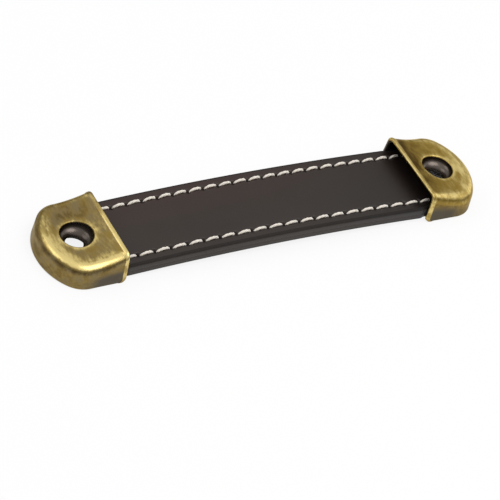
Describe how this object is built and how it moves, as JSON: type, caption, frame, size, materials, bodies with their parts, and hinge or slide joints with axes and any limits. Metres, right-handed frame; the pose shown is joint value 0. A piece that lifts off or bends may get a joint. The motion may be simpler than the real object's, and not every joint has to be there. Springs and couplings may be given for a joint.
{
  "type": "strap pull",
  "caption": "Flat stitched strap of faux leather held at each end in a D-shaped hollow metal cap with a countersunk screw hole; a pull for drawers and cabinet doors.",
  "frame": {"origin": "on the face that the pull is screwed to, midway between the screw holes", "axes": "+X along the strap, +Y across it, +Z away from the face that the pull is screwed to"},
  "size_m": [0.1136, 0.0228, 0.0078],
  "materials": {
    "antique_brass": "antique brass plating, darkened and rubbed back on the raised edges",
    "dark_brown_faux_leather": "smooth fine-grained coated cloth, satin",
    "blackened_steel": "blackened",
    "off_white_thread": "twisted sewing thread"
  },
  "bodies": {
    "root": {"end_cap_left": "antique_brass", "end_cap_right": "antique_brass", "strap_top_cover": "dark_brown_faux_leather", "strap_back_cover": "dark_brown_faux_leather", "core_strip": "blackened_steel", "front_needle_thread": "off_white_thread", "front_bobbin_thread": "off_white_thread", "back_needle_thread": "off_white_thread", "back_bobbin_thread": "off_white_thread"}
  },
  "joints": []
}
